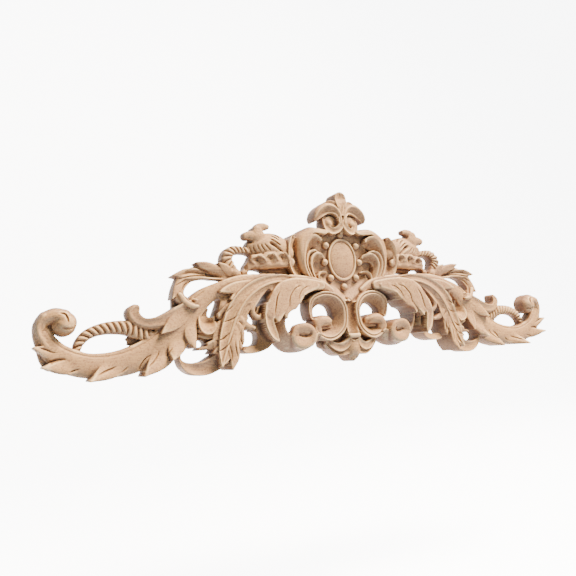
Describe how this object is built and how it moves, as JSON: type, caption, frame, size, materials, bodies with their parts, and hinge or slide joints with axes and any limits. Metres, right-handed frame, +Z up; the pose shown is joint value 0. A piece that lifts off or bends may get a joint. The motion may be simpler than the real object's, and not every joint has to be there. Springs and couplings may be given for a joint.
{
  "type": "carved wood applique",
  "caption": "Long pierced wood carving for furniture or a wall: scrolling acanthus leaves either side of an oval cartouche, with a leaf finial, a shell drop and curled ends.",
  "frame": {"origin": "on the flat back, midway along the length and at about half the height, behind the cartouche", "axes": "+X along the length, +Y out of the flat back into the surface it is fixed to, +Z up"},
  "size_m": [0.7988, 0.042, 0.2364],
  "materials": {
    "wood": "bare sanded, unvarnished"
  },
  "bodies": {
    "root": {"applique": "wood"}
  },
  "joints": []
}
